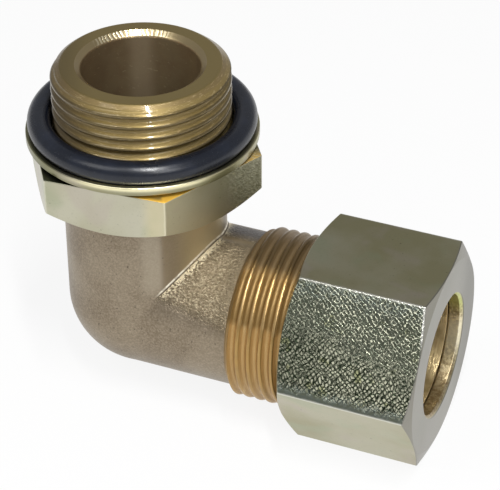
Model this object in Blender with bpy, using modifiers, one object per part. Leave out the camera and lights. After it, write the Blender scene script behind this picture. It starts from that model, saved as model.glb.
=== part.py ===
# Male elbow fitting: an adjustable stud elbow with a lock nut, retaining washer and O-ring on its
# stud, and a compression nut over a compression ring on its side arm. The origin is the middle of
# the seat plane that meets the port, +Z points out of the stud and +X out of the arm.

import math

import bmesh
import bpy
from mathutils import Matrix

MM = 0.001
FULL_TURN = 2.0 * math.pi

# Stud, measured up from the seat plane
STUD_THREAD_DIAMETER = 26.44 * MM
STUD_THREAD_PITCH = 1.814 * MM
STUD_THREAD_DEPTH = 1.162 * MM
STUD_CREST_HEIGHT = 0.41 * MM
STUD_REACH = 10.45 * MM
STUD_BORE_DIAMETER = 17.4 * MM
STUD_MOUTH_CHAMFER = 0.9 * MM
STUD_MOUTH_DEPTH = 0.7 * MM

# Forged elbow, with the arm measured out from the stud's axis and each neck a step under its thread
BODY_STEP = 0.92 * MM
ARM_STEP = 1.22 * MM
ARM_DROP = 29.3 * MM
ARM_NECK = 17.9 * MM
ARM_LENGTH = 35.0 * MM
ARM_BORE_DIAMETER = 15.5 * MM

# Arm thread, over the tube that the arm takes
ARM_THREAD_WALL = 4.22 * MM
ARM_THREAD_PITCH = 1.814 * MM
ARM_THREAD_DEPTH = 1.162 * MM
ARM_CREST_REACH = 0.58 * MM

# Round crests and end chamfers of both threads
CREST_ROUNDING = 0.17 * MM
CREST_HALF_WIDTH = 0.29 * MM
THREAD_CHAMFER = 1.5 * MM
THREAD_CHAMFER_LENGTH = 1.4 * MM
ARM_THREAD_OVERLAP = 0.45 * MM

# Tube socket and the cone that takes the ring
TUBE_DIAMETER = 18.0 * MM
TUBE_CLEARANCE = 0.1 * MM
TUBE_SOCKET_DEPTH = 13.0 * MM
SEAT_CONE_DEPTH = 8.0 * MM
SEAT_CONE_HALF_ANGLE = math.radians(12.0)

# O-ring
O_RING_SECTION = 3.5 * MM
O_RING_FIT = 0.23 * MM

# Retaining washer, whose floor carries the O-ring inside its rim
WASHER_THICKNESS = 1.3 * MM
WASHER_FLOOR = 0.5 * MM
WASHER_RIM = 0.45 * MM
WASHER_EDGE = 0.2 * MM

# Lock nut
LOCK_NUT_WALL = 2.78 * MM
LOCK_NUT_HEIGHT = 7.4 * MM
LOCK_NUT_CHAMFER = math.radians(34.0)
LOCK_NUT_TURN = math.radians(3.9)
WASHER_TO_LOCK_NUT = 0.6 * MM

# Compression nut
NUT_WALL = 1.78 * MM
NUT_LENGTH = 20.9 * MM
NUT_ENGAGEMENT = 7.8 * MM
NUT_INNER_CHAMFER = math.radians(24.0)
NUT_OUTER_CHAMFER = math.radians(17.0)
NUT_LIP = 2.9 * MM
NUT_LIP_CLEARANCE = 0.25 * MM
NUT_MOUTH_CHAMFER = 0.5 * MM
NUT_CHAMBER_LENGTH = 2.3 * MM
NUT_TURN = math.radians(30.5)

# Compression ring
RING_LENGTH = 10.0 * MM
RING_COLLAR_WALL = 2.1 * MM
RING_COLLAR_LENGTH = 3.4 * MM
RING_SHOULDER_LENGTH = 1.0 * MM
RING_TAPER_WALL = 1.2 * MM
RING_NOSE_WALL = 0.85 * MM
RING_BACK_WALL = 0.3 * MM

# Fits and finish shared by the pieces
CLEARANCE = 0.3 * MM
THREAD_MOUTH = 0.6 * MM
FACE_MARGIN = 0.1 * MM
CUT_OVERRUN = 1.0 * MM
WELD_DISTANCE = 0.0005 * MM

# Facets around a full turn
ROUND_STEPS = 48
THREAD_STEPS = 32
SECTION_STEPS = 12
SEAT_STEPS = 5
BALL_STEPS = 10
HEX_SIDES = 6
SHARP_ANGLE = math.radians(28.0)

# Sizes that follow from the ones above
STUD_RADIUS = STUD_THREAD_DIAMETER / 2.0
O_RING_MIDDLE = STUD_RADIUS + O_RING_FIT + O_RING_SECTION / 2.0
O_RING_HOLD = O_RING_SECTION / 2.0 + CLEARANCE
O_RING_RISE = O_RING_HOLD + WASHER_FLOOR - WASHER_THICKNESS
ARM_THREAD_DIAMETER = TUBE_DIAMETER + 2.0 * ARM_THREAD_WALL
BODY_RADIUS = STUD_RADIUS - BODY_STEP
ARM_RADIUS = ARM_THREAD_DIAMETER / 2.0 - ARM_STEP
LOCK_NUT_FLATS = STUD_THREAD_DIAMETER + 2.0 * LOCK_NUT_WALL
NUT_FLATS = ARM_THREAD_DIAMETER + 2.0 * NUT_WALL
NUT_START = ARM_LENGTH - NUT_ENGAGEMENT
NUT_END = NUT_START + NUT_LENGTH
SOCKET_RADIUS = TUBE_DIAMETER / 2.0 + TUBE_CLEARANCE / 2.0
RING_RADIUS = TUBE_DIAMETER / 2.0 + TUBE_CLEARANCE
COLLAR_RADIUS = RING_RADIUS + RING_COLLAR_WALL
LIP_RADIUS = TUBE_DIAMETER / 2.0 + NUT_LIP_CLEARANCE
CHAMBER_RADIUS = COLLAR_RADIUS + CLEARANCE
LOCK_NUT_TOP = -WASHER_THICKNESS - WASHER_TO_LOCK_NUT
LOCK_NUT_BOTTOM = LOCK_NUT_TOP - LOCK_NUT_HEIGHT
STUD_THREAD_BOTTOM = LOCK_NUT_BOTTOM - THREAD_CHAMFER_LENGTH


def clear_scene():
    """Remove whatever the open file holds."""
    for item in list(bpy.data.objects):
        bpy.data.objects.remove(item, do_unlink=True)
    for collection in list(bpy.data.collections):
        bpy.data.collections.remove(collection)


def new_collection(name):
    collection = bpy.data.collections.new(name)
    bpy.context.scene.collection.children.link(collection)
    return collection


def new_material(name, colour, roughness, metallic):
    material = bpy.data.materials.new(name)
    material.use_nodes = True
    shader = material.node_tree.nodes["Principled BSDF"]
    shader.inputs["Base Color"].default_value = (*colour, 1.0)
    shader.inputs["Roughness"].default_value = roughness
    shader.inputs["Metallic"].default_value = metallic
    return material


def new_object(name, mesh, collection):
    item = bpy.data.objects.new(name, mesh)
    collection.objects.link(item)
    return item


def bake(item):
    """Turn an object's modifiers into its mesh, welded and with its faces pointing out."""
    bpy.context.view_layer.update()
    graph = bpy.context.evaluated_depsgraph_get()
    mesh = bpy.data.meshes.new_from_object(item.evaluated_get(graph))
    item.modifiers.clear()
    item.data = mesh
    shape = bmesh.new()
    shape.from_mesh(mesh)
    bmesh.ops.remove_doubles(shape, verts=shape.verts, dist=WELD_DISTANCE)
    bmesh.ops.recalc_face_normals(shape, faces=shape.faces)
    shape.to_mesh(mesh)
    shape.free()


def shade(item, material):
    item.data.materials.clear()
    item.data.materials.append(material)
    item.data.shade_smooth()
    item.data.set_sharp_from_angle(angle=SHARP_ANGLE)


def add_screw(item, steps, iterations=1, pitch=0.0):
    screw = item.modifiers.new("Turn", "SCREW")
    screw.angle = FULL_TURN
    screw.steps = steps
    screw.render_steps = steps
    screw.iterations = iterations
    screw.screw_offset = pitch
    screw.use_merge_vertices = True
    screw.merge_threshold = WELD_DISTANCE


def turned(name, profile, collection, closed=False):
    """Turn a (radius, height) profile about Z. A closed profile makes a ring."""
    count = len(profile)
    edges = [(i, i + 1) for i in range(count - 1)]
    if closed:
        edges.append((count - 1, 0))
    mesh = bpy.data.meshes.new(name)
    mesh.from_pydata([(radius, 0.0, height) for radius, height in profile], edges, [])
    item = new_object(name, mesh, collection)
    add_screw(item, ROUND_STEPS)
    bake(item)
    return item


def threaded_rod(name, diameter, pitch, depth, crest_height, bottom, top, collection):
    """Right-hand threaded rod with round crests, cut flat at both ends. One of its crests passes
    crest_height on +X."""
    crest = diameter / 2.0
    root = crest - depth
    shoulder = crest - CREST_ROUNDING
    profile = [
        (root, pitch / 2.0),
        (shoulder, CREST_HALF_WIDTH),
        (crest, 0.0),
        (shoulder, -CREST_HALF_WIDTH),
        (root, -pitch / 2.0),
    ]
    mesh = bpy.data.meshes.new(name)
    turns_below = math.floor((bottom - crest_height) / pitch) - 1
    start = crest_height + turns_below * pitch
    vertices = [(radius, 0.0, start + height) for radius, height in profile]
    mesh.from_pydata(vertices, [(i, i + 1) for i in range(len(profile) - 1)], [])
    rod = new_object(name, mesh, collection)
    add_screw(rod, THREAD_STEPS, math.ceil((top - start) / pitch) + 1, pitch)
    bake(rod)
    shape = bmesh.new()
    shape.from_mesh(rod.data)
    for height, outward in ((bottom, -1.0), (top, 1.0)):
        cut = bmesh.ops.bisect_plane(
            shape,
            geom=shape.verts[:] + shape.edges[:] + shape.faces[:],
            plane_co=(0.0, 0.0, height),
            plane_no=(0.0, 0.0, outward),
            clear_outer=True,
        )
        rim = [edge for edge in cut["geom_cut"] if isinstance(edge, bmesh.types.BMEdge)]
        bmesh.ops.holes_fill(shape, edges=rim)
    bmesh.ops.recalc_face_normals(shape, faces=shape.faces)
    shape.to_mesh(rod.data)
    shape.free()
    return rod


def chamfered_rod(name, diameter, pitch, depth, crest_height, bottom, top, collection):
    """Threaded rod whose thread runs out in a cone at each end."""
    rod = threaded_rod(name, diameter, pitch, depth, crest_height, bottom, top, collection)
    outside = diameter / 2.0 + CLEARANCE
    end = diameter / 2.0 - THREAD_CHAMFER
    beyond = end - CUT_OVERRUN * (outside - end) / THREAD_CHAMFER_LENGTH
    envelope = turned(
        name + "_envelope",
        [
            (0.0, top + CUT_OVERRUN),
            (beyond, top + CUT_OVERRUN),
            (outside, top - THREAD_CHAMFER_LENGTH),
            (outside, bottom + THREAD_CHAMFER_LENGTH),
            (beyond, bottom - CUT_OVERRUN),
            (0.0, bottom - CUT_OVERRUN),
        ],
        collection,
    )
    combine(rod, envelope, "INTERSECT")
    bake(rod)
    bpy.data.objects.remove(envelope, do_unlink=True)
    return rod


def hexagon(name, flats, bottom, top, collection):
    """Upright hexagonal bar with a corner on +X."""
    corner = flats / math.sqrt(3.0)
    shape = bmesh.new()
    bmesh.ops.create_cone(
        shape,
        cap_ends=True,
        segments=HEX_SIDES,
        radius1=corner,
        radius2=corner,
        depth=top - bottom,
    )
    half_side = Matrix.Rotation(math.pi / HEX_SIDES, 3, "Z")
    bmesh.ops.rotate(shape, verts=shape.verts, matrix=half_side)
    bmesh.ops.translate(shape, verts=shape.verts, vec=(0.0, 0.0, (top + bottom) / 2.0))
    mesh = bpy.data.meshes.new(name)
    shape.to_mesh(mesh)
    shape.free()
    return new_object(name, mesh, collection)


def combine(item, other, operation, solver="EXACT"):
    boolean = item.modifiers.new(other.name, "BOOLEAN")
    boolean.operation = operation
    boolean.object = other
    boolean.solver = solver


def hide_cutters(collection):
    for item in collection.objects:
        item.hide_render = True
        item.display_type = "WIRE"


def arc(centre, radius, start, end, steps):
    """Points of an arc in the (radius, height) plane, from one angle to another."""
    angles = [start + (end - start) * i / steps for i in range(steps + 1)]
    return [(centre[0] + radius * math.cos(a), centre[1] + radius * math.sin(a)) for a in angles]


def turn_onto_arm(item, turn=0.0):
    """Lay a piece built about Z along the arm's axis, top outward, turned about that axis."""
    item.location = (0.0, 0.0, -ARM_DROP)
    item.rotation_mode = "ZYX"
    item.rotation_euler = (0.0, math.pi / 2.0, turn)
    return item


def forged_neck(name, radius, top, collection):
    """Round neck that ends in a ball at the elbow's centre."""
    ball = arc((0.0, 0.0), radius, 0.0, -math.pi / 2.0, BALL_STEPS)
    ball[-1] = (0.0, -radius)
    return turned(name, [(0.0, top), (radius, top)] + ball, collection)


def build_body(parts, cutters, material):
    """One forging: the stud, the mitred elbow and the arm, threaded and bored."""
    # The stud's neck stops just under the lock nut and its thread starts inside the neck
    neck_top = LOCK_NUT_BOTTOM - CLEARANCE + ARM_DROP
    body = forged_neck("elbow_body", BODY_RADIUS, neck_top, parts)
    body.location = (0.0, 0.0, -ARM_DROP)
    arm = turn_onto_arm(forged_neck("arm_neck", ARM_RADIUS, ARM_NECK, cutters))
    stud_thread = chamfered_rod(
        "stud_thread",
        STUD_THREAD_DIAMETER,
        STUD_THREAD_PITCH,
        STUD_THREAD_DEPTH,
        STUD_CREST_HEIGHT,
        STUD_THREAD_BOTTOM,
        STUD_REACH,
        cutters,
    )
    arm_thread = turn_onto_arm(
        chamfered_rod(
            "arm_thread",
            ARM_THREAD_DIAMETER,
            ARM_THREAD_PITCH,
            ARM_THREAD_DEPTH,
            ARM_CREST_REACH,
            ARM_NECK - ARM_THREAD_OVERLAP,
            ARM_LENGTH,
            cutters,
        )
    )
    # The two bores meet ball to ball under the mitre
    stud_radius = STUD_BORE_DIAMETER / 2.0
    stud_ball = arc((0.0, -ARM_DROP), stud_radius, 0.0, -math.pi / 2.0, BALL_STEPS)
    stud_ball[-1] = (0.0, -ARM_DROP - stud_radius)
    stud_mouth_depth = STUD_MOUTH_DEPTH + CUT_OVERRUN
    stud_mouth = stud_radius + stud_mouth_depth * STUD_MOUTH_CHAMFER / STUD_MOUTH_DEPTH
    stud_bore = turned(
        "stud_bore",
        [
            (0.0, STUD_REACH + CUT_OVERRUN),
            (stud_mouth, STUD_REACH + CUT_OVERRUN),
            (stud_radius, STUD_REACH - STUD_MOUTH_DEPTH),
        ]
        + stud_ball,
        cutters,
    )
    arm_radius = ARM_BORE_DIAMETER / 2.0
    socket_end = ARM_LENGTH - TUBE_SOCKET_DEPTH
    cone_end = ARM_LENGTH - SEAT_CONE_DEPTH
    cone_depth = SEAT_CONE_DEPTH + CUT_OVERRUN
    cone_mouth = SOCKET_RADIUS + cone_depth * math.tan(SEAT_CONE_HALF_ANGLE)
    arm_ball = arc((0.0, 0.0), arm_radius, 0.0, -math.pi / 2.0, BALL_STEPS)
    arm_ball[-1] = (0.0, -arm_radius)
    arm_bore = turn_onto_arm(
        turned(
            "arm_bore",
            [
                (0.0, ARM_LENGTH + CUT_OVERRUN),
                (cone_mouth, ARM_LENGTH + CUT_OVERRUN),
                (SOCKET_RADIUS, cone_end),
                (SOCKET_RADIUS, socket_end),
                (arm_radius, socket_end),
            ]
            + arm_ball,
            cutters,
        )
    )
    # The exact solver drops a facet where the arm's neck meets its thread at some sizes
    for other in (arm, stud_thread, arm_thread):
        combine(body, other, "UNION", "MANIFOLD")
    for other in (stud_bore, arm_bore):
        combine(body, other, "DIFFERENCE", "MANIFOLD")
    shade(body, material)
    return body


def build_o_ring(parts, material):
    """Round-section ring that rests in the washer and seals against the port."""
    bpy.ops.mesh.primitive_torus_add(
        major_segments=ROUND_STEPS,
        minor_segments=SECTION_STEPS,
        major_radius=O_RING_MIDDLE,
        minor_radius=O_RING_SECTION / 2.0,
        location=(0.0, 0.0, O_RING_RISE),
    )
    ring = bpy.context.object
    ring.name = "o_ring"
    for collection in list(ring.users_collection):
        collection.objects.unlink(ring)
    parts.objects.link(ring)
    shade(ring, material)
    return ring


def build_washer(parts, material):
    """Thin pressed washer: a flat floor and a raised rim around the O-ring."""
    bore = STUD_RADIUS + CLEARANCE
    lip_angle = -math.asin(O_RING_RISE / O_RING_HOLD)
    rim = O_RING_MIDDLE + O_RING_HOLD * math.cos(lip_angle) + WASHER_RIM
    centre = (O_RING_MIDDLE, O_RING_RISE)
    seat = arc(centre, O_RING_HOLD, -math.pi / 2.0, lip_angle, SEAT_STEPS)
    washer = turned(
        "retaining_washer",
        [
            (rim - WASHER_EDGE, 0.0),
            (rim, -WASHER_EDGE),
            (rim, -WASHER_THICKNESS + WASHER_EDGE),
            (rim - WASHER_EDGE, -WASHER_THICKNESS),
            (bore, -WASHER_THICKNESS),
            (bore, WASHER_FLOOR - WASHER_THICKNESS),
        ]
        + seat,
        parts,
        closed=True,
    )
    shade(washer, material)
    return washer


def chamfer_envelope(name, flats, bottom, top, bottom_angle, top_angle, collection):
    """Turned shape that rounds the corners of a hexagon at its two end faces."""
    corner = flats / math.sqrt(3.0) + CUT_OVERRUN
    face = flats / 2.0 - FACE_MARGIN
    bottom_rise = (corner - face) * math.tan(bottom_angle)
    top_rim = [(corner, top)]
    if top_angle:
        top_rim = [(face, top), (corner, top - (corner - face) * math.tan(top_angle))]
    bottom_rim = [(corner, bottom + bottom_rise), (face, bottom)]
    return turned(name, [(0.0, top)] + top_rim + bottom_rim + [(0.0, bottom)], collection)


def build_lock_nut(parts, cutters, material):
    """Thin hexagon nut with a flat top and a chamfered underside."""
    nut = hexagon("lock_nut", LOCK_NUT_FLATS, LOCK_NUT_BOTTOM, LOCK_NUT_TOP, parts)
    nut.rotation_euler[2] = LOCK_NUT_TURN
    envelope = chamfer_envelope(
        "lock_nut_envelope",
        LOCK_NUT_FLATS,
        LOCK_NUT_BOTTOM,
        LOCK_NUT_TOP + CUT_OVERRUN,
        LOCK_NUT_CHAMFER,
        0.0,
        cutters,
    )
    bore = STUD_RADIUS + CLEARANCE
    mouth = bore + THREAD_MOUTH
    hole = turned(
        "lock_nut_bore",
        [
            (0.0, LOCK_NUT_TOP + CUT_OVERRUN),
            (mouth, LOCK_NUT_TOP + CUT_OVERRUN),
            (mouth, LOCK_NUT_TOP),
            (bore, LOCK_NUT_TOP - THREAD_MOUTH),
            (bore, LOCK_NUT_BOTTOM + THREAD_MOUTH),
            (mouth, LOCK_NUT_BOTTOM),
            (mouth, LOCK_NUT_BOTTOM - CUT_OVERRUN),
            (0.0, LOCK_NUT_BOTTOM - CUT_OVERRUN),
        ],
        cutters,
    )
    combine(nut, envelope, "INTERSECT")
    combine(nut, hole, "DIFFERENCE")
    shade(nut, material)
    return nut


def build_compression_nut(parts, cutters, material):
    """Long hexagon nut with a cone and a lip inside its outer end."""
    nut = hexagon("compression_nut", NUT_FLATS, NUT_START, NUT_END, parts)
    envelope = chamfer_envelope(
        "compression_nut_envelope",
        NUT_FLATS,
        NUT_START,
        NUT_END,
        NUT_INNER_CHAMFER,
        NUT_OUTER_CHAMFER,
        cutters,
    )
    bore = ARM_THREAD_DIAMETER / 2.0 + CLEARANCE
    mouth = bore + THREAD_MOUTH
    cone_end = NUT_END - NUT_LIP
    cone_start = cone_end - (CHAMBER_RADIUS - LIP_RADIUS)
    chamber_start = cone_start - NUT_CHAMBER_LENGTH
    thread_end = chamber_start - (bore - CHAMBER_RADIUS) / 2.0
    hole = turned(
        "compression_nut_bore",
        [
            (0.0, NUT_END + CUT_OVERRUN),
            (LIP_RADIUS + NUT_MOUTH_CHAMFER, NUT_END + CUT_OVERRUN),
            (LIP_RADIUS + NUT_MOUTH_CHAMFER, NUT_END),
            (LIP_RADIUS, NUT_END - NUT_MOUTH_CHAMFER),
            (LIP_RADIUS, cone_end),
            (CHAMBER_RADIUS, cone_start),
            (CHAMBER_RADIUS, chamber_start),
            (bore, thread_end),
            (bore, NUT_START + THREAD_MOUTH),
            (mouth, NUT_START),
            (mouth, NUT_START - CUT_OVERRUN),
            (0.0, NUT_START - CUT_OVERRUN),
        ],
        cutters,
    )
    combine(nut, turn_onto_arm(envelope), "INTERSECT")
    combine(nut, turn_onto_arm(hole), "DIFFERENCE")
    turn_onto_arm(nut, NUT_TURN)
    shade(nut, material)
    return nut


def build_compression_ring(parts, material):
    """Ring that the nut's cone presses onto the tube and into the body's cone."""
    back = NUT_END - NUT_LIP - CLEARANCE * math.sqrt(2.0)
    back_radius = RING_RADIUS + RING_BACK_WALL
    back_end = back - (back_radius - LIP_RADIUS)
    collar_start = back - (COLLAR_RADIUS - LIP_RADIUS)
    collar_end = collar_start - RING_COLLAR_LENGTH
    nose = back_end - RING_LENGTH
    ring = turned(
        "compression_ring",
        [
            (RING_RADIUS, back_end),
            (back_radius, back_end),
            (COLLAR_RADIUS, collar_start),
            (COLLAR_RADIUS, collar_end),
            (RING_RADIUS + RING_TAPER_WALL, collar_end - RING_SHOULDER_LENGTH),
            (RING_RADIUS + RING_NOSE_WALL, nose),
            (RING_RADIUS, nose),
        ],
        parts,
        closed=True,
    )
    turn_onto_arm(ring)
    shade(ring, material)
    return ring


def main():
    clear_scene()
    parts = new_collection("male_elbow_fitting")
    cutters = new_collection("cutters")
    forged_brass = new_material("forged_brass", (0.52, 0.38, 0.20), 0.45, 1.0)
    ring_brass = new_material("ring_brass", (0.62, 0.44, 0.16), 0.30, 1.0)
    plated_steel = new_material("plated_steel", (0.58, 0.56, 0.36), 0.35, 1.0)
    black_rubber = new_material("black_rubber", (0.02, 0.02, 0.025), 0.50, 0.0)
    build_body(parts, cutters, forged_brass)
    build_o_ring(parts, black_rubber)
    build_washer(parts, plated_steel)
    build_lock_nut(parts, cutters, plated_steel)
    build_compression_nut(parts, cutters, plated_steel)
    build_compression_ring(parts, ring_brass)
    hide_cutters(cutters)


if __name__ == "__main__":
    main()
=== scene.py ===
# Male elbow fitting, dressed: forged and turned brass body, plated nuts and washer, rubber seal.
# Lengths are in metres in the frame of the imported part: the origin is the middle of the seat plane,
# +Z points out of the stud and +X out of the arm.

import math

import bmesh
import bpy
import numpy as np
from mathutils import Matrix, Vector


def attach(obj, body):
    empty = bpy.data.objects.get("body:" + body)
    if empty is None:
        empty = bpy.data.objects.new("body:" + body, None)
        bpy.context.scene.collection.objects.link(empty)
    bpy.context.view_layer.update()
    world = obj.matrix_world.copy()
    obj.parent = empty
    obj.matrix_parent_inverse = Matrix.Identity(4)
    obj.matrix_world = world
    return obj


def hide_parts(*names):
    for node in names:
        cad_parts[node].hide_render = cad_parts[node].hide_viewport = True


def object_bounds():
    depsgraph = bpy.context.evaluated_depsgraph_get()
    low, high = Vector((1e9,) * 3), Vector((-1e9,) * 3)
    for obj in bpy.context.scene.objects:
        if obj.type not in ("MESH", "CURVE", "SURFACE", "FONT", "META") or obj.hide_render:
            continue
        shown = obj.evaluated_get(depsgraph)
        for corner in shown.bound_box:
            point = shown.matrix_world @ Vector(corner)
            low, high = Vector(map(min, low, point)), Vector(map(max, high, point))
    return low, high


bl_info = {
    "name": "Male Elbow Fitting",
    "version": (1, 0, 0),
    "blender": (4, 5, 0),
    "location": "3D View > Sidebar > Elbow Fitting",
    "description": "Builds the detailed pieces, finishes and stage of a male elbow fitting",
    "category": "Object",
}

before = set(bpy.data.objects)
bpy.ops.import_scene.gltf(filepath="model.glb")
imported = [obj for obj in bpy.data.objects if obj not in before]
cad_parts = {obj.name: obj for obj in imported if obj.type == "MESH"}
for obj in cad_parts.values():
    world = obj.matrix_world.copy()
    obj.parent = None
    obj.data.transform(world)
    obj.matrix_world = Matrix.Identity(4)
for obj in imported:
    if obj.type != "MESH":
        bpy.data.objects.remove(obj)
CAD_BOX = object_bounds()

MM = 0.001
FULL_TURN = 2.0 * math.pi
WELD = 0.0004 * MM
ARM_TURN = Matrix.Rotation(math.pi / 2.0, 4, "Y")
BODY_SHARP = math.radians(32.0)
TURNED_SHARP = math.radians(40.0)
NUT_SHARP = math.radians(50.0)
FACE_INSET = 0.1 * MM  # from a nut's flats to the round edge of its end faces
THREAD_MOUTH = 0.9 * MM  # how far a nut's thread opens beyond the crests at each end
MOUTH_INSET = 0.05 * MM  # from a nut's end face to the first point of its thread


# Sizes and colours


def length(name, description, millimetres):
    return bpy.props.FloatProperty(
        name=name, description=description, default=millimetres * MM, unit="LENGTH", precision=5
    )


def angle(name, description, degrees):
    return bpy.props.FloatProperty(
        name=name, description=description, default=math.radians(degrees), unit="ROTATION"
    )


def count(name, description, value):
    return bpy.props.IntProperty(name=name, description=description, default=value)


def colour(name, description, value):
    return bpy.props.FloatVectorProperty(
        name=name, description=description, default=value, subtype="COLOR", size=3, min=0.0, max=1.0
    )


class FittingSizes(bpy.types.PropertyGroup):
    """Sizes shared by the brass body and what screws onto it."""

    thread_diameter: length("Thread diameter", "Across the crests of both threads", 26.44)
    pitch: length("Pitch", "Rise of both threads in one turn", 1.814)
    flank: angle("Thread flank", "Lean of the flanks of both threads", 27.5)
    crest_round: length("Crest radius", "Radius of the worn, round crests", 0.36)
    root_round: length("Root radius", "Radius of the roots", 0.46)
    thread_play: length("Thread play", "Radial gap between a nut's thread and its rod", 0.1)
    stud_crest: length("Stud crest", "Height of a stud crest on the +X side", 0.41)
    stud_reach: length("Stud reach", "Stud above the seat plane", 10.45)
    stud_bottom: length("Stud thread bottom", "Lower end of the stud thread", -10.7)
    thread_end: length("Thread end radius", "Radius of the flat end of both threads", 11.72)
    stud_bore: length("Stud bore radius", "Radius of the bore through the stud", 8.7)
    stud_mouth: length("Stud mouth", "Width of the slope into the stud bore", 0.9)
    stud_mouth_depth: length("Stud mouth depth", "Depth of that slope", 0.7)
    arm_crest: length("Arm crest", "Distance of an arm crest on the lower side", 0.58)
    arm_drop: length("Arm drop", "Arm axis below the seat plane", 29.3)
    arm_start: length("Arm thread start", "Where the arm thread leaves the neck", 17.45)
    arm_reach: length("Arm reach", "Arm end from the stud axis", 35.0)
    arm_bore: length("Arm bore radius", "Radius of the bore in the arm", 7.75)
    socket: length("Socket radius", "Radius of the tube socket", 9.05)
    socket_depth: length("Socket depth", "Depth of the tube socket", 13.0)
    cone_depth: length("Cone depth", "Depth of the cone that takes the ring", 8.0)
    cone_angle: angle("Cone angle", "Half angle of that cone", 12.0)
    body_radius: length("Body radius", "Forged neck under the stud", 12.3)
    arm_radius: length("Arm radius", "Forged neck of the arm", 12.0)
    neck_top: length("Neck top", "Top of the forged neck", -9.6)
    mitre_round: length("Mitre round", "Softening of the inside mitre", 0.9)
    web: length("Mitre web", "Height of the web that fills the inside mitre", 0.75)
    mitre_bead: length("Mitre bead", "Height of the fine line along the mitre", 0.07)
    ring_steps: count("Steps round", "Facets round a turned shape", 160)


class SealSizes(bpy.types.PropertyGroup):
    """Sizes of the O-ring and the washer that holds it."""

    section: length("O-ring section", "Thickness of the rubber ring", 3.5)
    middle: length("O-ring middle radius", "Radius to the middle of the rubber", 15.2)
    rise: length("O-ring rise", "Middle of the rubber above the seat plane", 1.25)
    seat: length("Seat radius", "Hollow of the washer under the ring", 1.85)
    thickness: length("Washer thickness", "Washer at its rim", 1.3)
    floor: length("Washer floor", "Washer under the ring", 0.7)
    rim: length("Washer rim", "Radius of the washer", 17.279)
    bore: length("Washer bore", "Radius of the washer's hole", 13.52)
    edge: length("Washer edge", "Rounding of the washer's edges", 0.2)


class LockNutSizes(bpy.types.PropertyGroup):
    """Sizes of the thin hexagon nut on the stud."""

    flats: length("Across flats", "Distance across the flats", 32.0)
    top: length("Top", "Top face against the seat plane", -1.9)
    bottom: length("Bottom", "Lower face against the seat plane", -9.3)
    chamfer: angle("Chamfer", "Slope of the lower corners", 34.0)
    turn: angle("Turn", "How far the nut is turned", 3.9)
    corner: length("Corner round", "Rounding between two flats", 0.22)
    edge: length("Edge round", "Rounding of the other edges", 0.16)


class CompressionEndSizes(bpy.types.PropertyGroup):
    """Sizes of the long nut on the arm and the ring inside it."""

    flats: length("Across flats", "Distance across the flats", 30.0)
    start: length("Start", "Inner end from the stud axis", 27.2)
    end: length("End", "Outer end from the stud axis", 48.1)
    inner_chamfer: angle("Inner chamfer", "Slope of the inner corners", 24.0)
    outer_chamfer: angle("Outer chamfer", "Slope of the outer corners", 17.0)
    turn: angle("Turn", "How far the nut is turned", 30.5)
    corner: length("Corner round", "Rounding between two flats", 0.24)
    edge: length("Edge round", "Rounding of the other edges", 0.2)
    lip: length("Lip", "Length of the plain hole at the outer end", 2.1)
    lip_radius: length("Lip radius", "Radius of that hole", 9.25)
    mouth: length("Mouth chamfer", "Slope at the hole's edge", 0.5)
    chamber: length("Chamber radius", "Room for the ring's collar", 11.5)
    chamber_length: length("Chamber length", "Length of that room", 2.3)
    tube: length("Ring bore radius", "Radius of the ring's hole", 9.1)
    ring_back: length("Ring back", "Outer end of the ring", 45.7)
    ring_length: length("Ring length", "Length of the ring", 11.0)


class FittingColours(bpy.types.PropertyGroup):
    """Colours of the finishes."""

    forged: colour("Forged brass", "Sand-textured skin of the forging", (0.272, 0.222, 0.155))
    forged_dark: colour("Forged brass, dull", "Dull patches of the skin", (0.215, 0.17, 0.114))
    stud: colour("Stud brass", "Turned brass of the stud", (0.158, 0.115, 0.040))
    stud_dark: colour("Stud brass, dull", "Dull patches of the stud", (0.19, 0.14, 0.06))
    arm: colour("Arm brass", "Turned brass of the arm thread", (0.44, 0.275, 0.095))
    arm_dark: colour("Arm brass, dull", "Dull patches of the arm thread", (0.33, 0.22, 0.10))
    bore: colour("Bore brass", "Brass inside the bores", (0.31, 0.232, 0.128))
    ring: colour("Ring brass", "Brass of the compression ring", (0.66, 0.52, 0.28))
    rubber: colour("Rubber", "Black rubber of the O-ring", (0.006, 0.008, 0.014))
    pale: colour("Pale plating", "Clean plated steel", (0.56, 0.54, 0.42))
    olive: colour("Olive plating", "Yellowed plated steel", (0.37, 0.345, 0.20))
    # Dull is also the painted dark reflection on the lock nut's flat beside the arm.
    dull: colour("Dull plating", "Dark film on the plating", (0.20, 0.21, 0.14))
    amber: colour("Amber plating", "Strong yellow bloom of the plating", (0.85, 0.50, 0.07))
    floor: colour("Floor", "Pale floor", (0.86, 0.86, 0.86))


# Shader maths


class Reading:
    """One number that varies over a surface, so that shader maths reads as plain sums."""

    def __init__(self, finish, socket):
        self.finish = finish
        self.socket = socket

    def __add__(self, other):
        return self.finish.maths("ADD", self, other)

    def __radd__(self, other):
        return self.finish.maths("ADD", other, self)

    def __sub__(self, other):
        return self.finish.maths("SUBTRACT", self, other)

    def __rsub__(self, other):
        return self.finish.maths("SUBTRACT", other, self)

    def __mul__(self, other):
        return self.finish.maths("MULTIPLY", self, other)

    def __rmul__(self, other):
        return self.finish.maths("MULTIPLY", other, self)

    def __truediv__(self, other):
        return self.finish.maths("DIVIDE", self, other)

    def __pow__(self, other):
        return self.finish.maths("POWER", self, other)

    def __neg__(self):
        return self.finish.maths("MULTIPLY", self, -1.0)

    def __abs__(self):
        return self.finish.maths("ABSOLUTE", self)

    def ease(self, low, high):
        """0 below low, 1 above high, smooth between. Low above high turns it over."""
        if low > high:
            return 1.0 - self.ease(high, low)
        settings = {"interpolation_type": "SMOOTHSTEP"}
        node = self.finish.node("ShaderNodeMapRange", settings, {0: self, 1: low, 2: high})
        return Reading(self.finish, node.outputs[0])


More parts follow.
